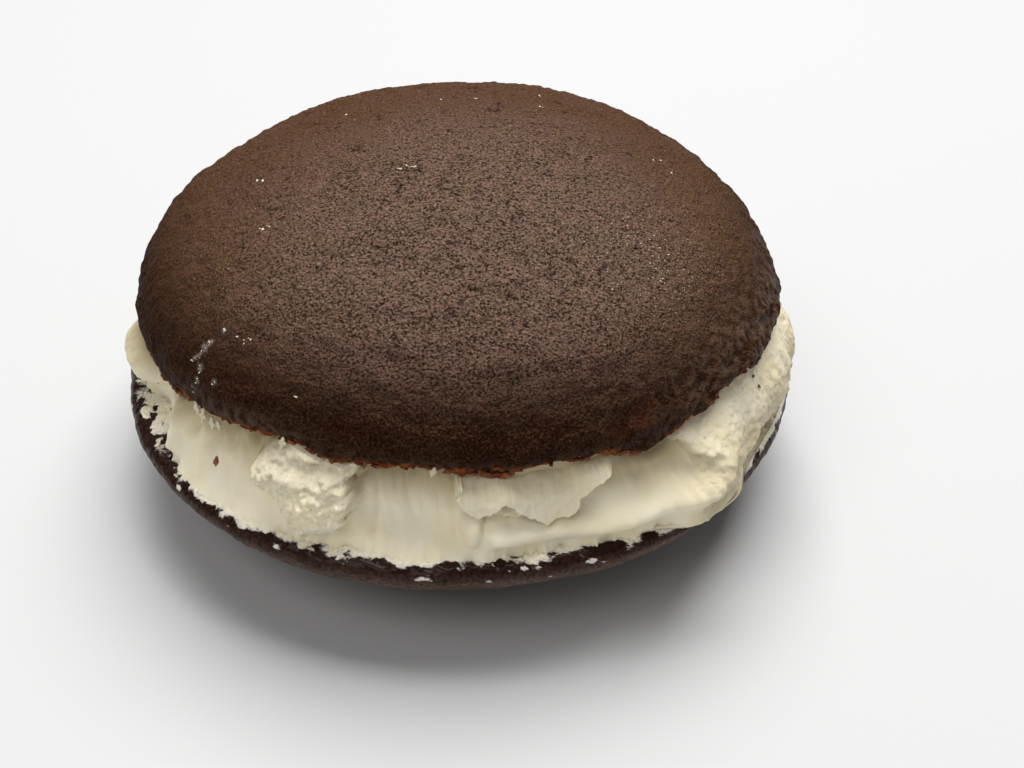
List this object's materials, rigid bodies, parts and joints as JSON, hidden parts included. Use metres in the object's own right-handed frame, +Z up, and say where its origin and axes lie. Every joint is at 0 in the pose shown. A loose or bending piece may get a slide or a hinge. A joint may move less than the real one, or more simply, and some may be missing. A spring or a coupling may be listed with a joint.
{
  "type": "whoopie pie",
  "caption": "Two domed cocoa cakes with a thick uneven layer of whipped cream between them.",
  "frame": {"origin": "centre of the footprint, on the surface that the pie stands on", "axes": "+Z up through the crown of the upper cake; -Y towards the front, where the flap of cream hangs"},
  "size_m": [0.1048, 0.1046, 0.0557],
  "materials": {
    "cocoa_crust": "fine leathery baked crust with small cracks and a soft sheen",
    "whipped_cream": "smooth spread cream, torn and airy in places",
    "dark_cocoa_crust": "moist dark crumb face and greyer baked crust"
  },
  "bodies": {
    "root": {"top_cake": "cocoa_crust", "filling": "whipped_cream", "bottom_cake": "dark_cocoa_crust"}
  },
  "joints": []
}
